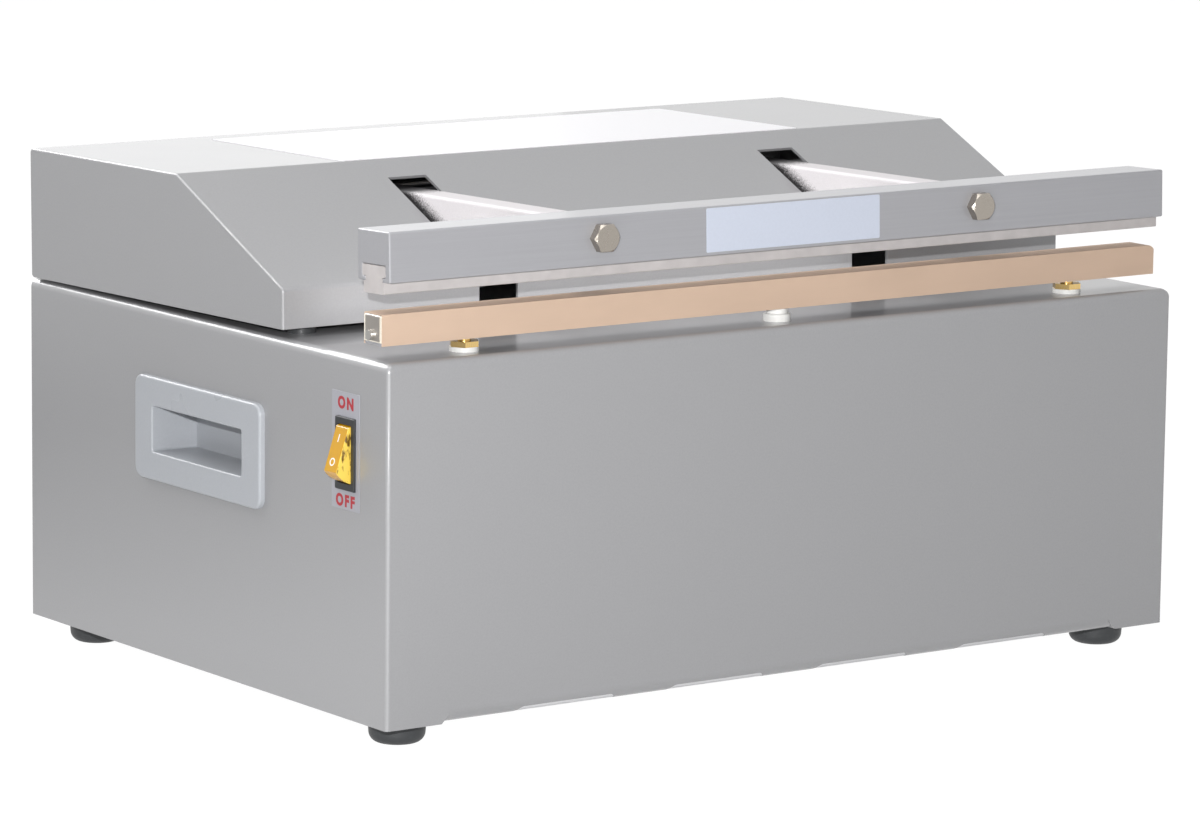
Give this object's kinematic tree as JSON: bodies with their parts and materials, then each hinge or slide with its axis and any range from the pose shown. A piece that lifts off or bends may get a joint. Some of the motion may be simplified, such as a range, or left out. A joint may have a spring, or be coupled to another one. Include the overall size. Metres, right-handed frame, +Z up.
{
  "type": "impulse heat sealer",
  "caption": "Bench-top impulse heat sealer: sheet-metal cabinet with a taped sealing bar, a powered upper jaw on pivoting arms, a hinged slotted hood, pocket handles and a rocker switch.",
  "frame": {"origin": "on the floor under the middle of the overall depth", "axes": "+X across the machine to its right as seen from the front, +Y from the front to the rear, +Z up"},
  "size_m": [0.4169, 0.2851, 0.2159],
  "materials": {
    "cabinet_enamel": "smooth silver-grey enamel on folded sheet",
    "tray_zinc": "zinc-plated sheet",
    "foot_rubber": "black moulded rubber",
    "handle_plastic": "grey moulded plastic",
    "switch_black": "black moulded plastic",
    "rocker_amber": "amber translucent plastic",
    "brass": "turned brass",
    "bar_aluminium": "extruded, satin",
    "arm_enamel": "light grey, fine grained",
    "silicone": "off-white silicone rubber",
    "release_cloth": "coated glass cloth, tan",
    "glass_cloth": "woven glass",
    "nichrome": "rolled ribbon",
    "nylon": "white nylon",
    "bright_steel": "bright plated",
    "black_steel": "black oxide",
    "ground_steel": "ground",
    "spring_steel": "drawn wire",
    "bronze": "sintered bronze",
    "coil_tape": "taped winding",
    "laminations": "varnished laminations",
    "circuit_board": "solder resist",
    "component_black": "moulded cases",
    "lead_insulation": "silicone sleeve"
  },
  "bodies": {
    "cabinet": {"base_shell": "cabinet_enamel", "bearing_block_left": "bar_aluminium", "bearing_block_right": "bar_aluminium", "bearing_bushes": "bronze", "block_bolts": "black_steel", "board_components": "component_black", "board_standoffs": "nylon", "bottom_tray": "tray_zinc", "centre_support": "nylon", "control_board": "circuit_board", "foot_front_left": "foot_rubber", "foot_front_right": "foot_rubber", "foot_rear_left": "foot_rubber", "foot_rear_right": "foot_rubber", "foot_screws": "bright_steel", "foot_switch_jack": "component_black", "fuse_holder": "component_black", "handle_left": "handle_plastic", "handle_right": "handle_plastic", "heater_leads": "lead_insulation", "heating_ribbon": "nichrome", "hinge_base_leaves": "tray_zinc", "hinge_pins": "bright_steel", "hood_bumpers": "foot_rubber", "inlet_pins": "brass", "insulating_strip": "glass_cloth", "insulating_washers": "nylon", "lead_lugs": "brass", "lower_bar": "bar_aluminium", "mains_inlet": "component_black", "pivot_shaft": "ground_steel", "rear_panel": "cabinet_enamel", "release_tape": "release_cloth", "return_spring_left": "spring_steel", "return_spring_right": "spring_steel", "ribbon_clamp_screws": "bright_steel", "shaft_collars": "black_steel", "solenoid_coil": "coil_tape", "solenoid_frame": "tray_zinc", "stop_bolts": "ground_steel", "switch_housing": "switch_black", "switch_terminals": "brass", "terminal_nuts": "brass", "terminal_studs": "brass", "transformer_core": "laminations", "transformer_winding": "coil_tape"},
    "jaw": {"upper_bar": "bar_aluminium", "pressure_pad": "silicone", "jaw_bolts": "bright_steel", "arm_left": "arm_enamel", "arm_right": "arm_enamel", "tie_bar": "bar_aluminium", "tie_bar_screws": "black_steel"},
    "drive_rod": {"plunger": "ground_steel", "pull_rod": "ground_steel", "link_pin": "ground_steel"},
    "hood": {"hood_shell": "cabinet_enamel", "hinge_hood_leaves": "tray_zinc"},
    "rocker": {"switch_rocker": "rocker_amber"}
  },
  "joints": [
    {"name": "jaw_pivot", "type": "hinge", "parent": "cabinet", "child": "jaw", "pos_m": [0, 0.1075, 0.1918], "axis": [1, 0, 0], "range_deg": [0, 1.86], "stiffness_Nm_per_rad": 70, "springref_deg": -3.72, "deforming": ["return_spring_left", "return_spring_right"]},
    {"name": "plunger_slide", "type": "slide", "parent": "cabinet", "child": "drive_rod", "axis": [0, 0, -1], "range_m": [0, 0.00247]},
    {"name": "rocker_tilt", "type": "hinge", "parent": "cabinet", "child": "rocker", "pos_m": [-0.20105, -0.112, 0.1177], "axis": [0, -1, 0], "range_deg": [0, 36]},
    {"name": "hood_hinge", "type": "hinge", "parent": "cabinet", "child": "hood", "pos_m": [0, 0.1405, 0.1579], "axis": [-1, 0, 0], "range_deg": [0, 75]}
  ],
  "couplings": [
    {"joint": "plunger_slide", "follows": "jaw_pivot", "m_per_rad": 0.076}
  ]
}
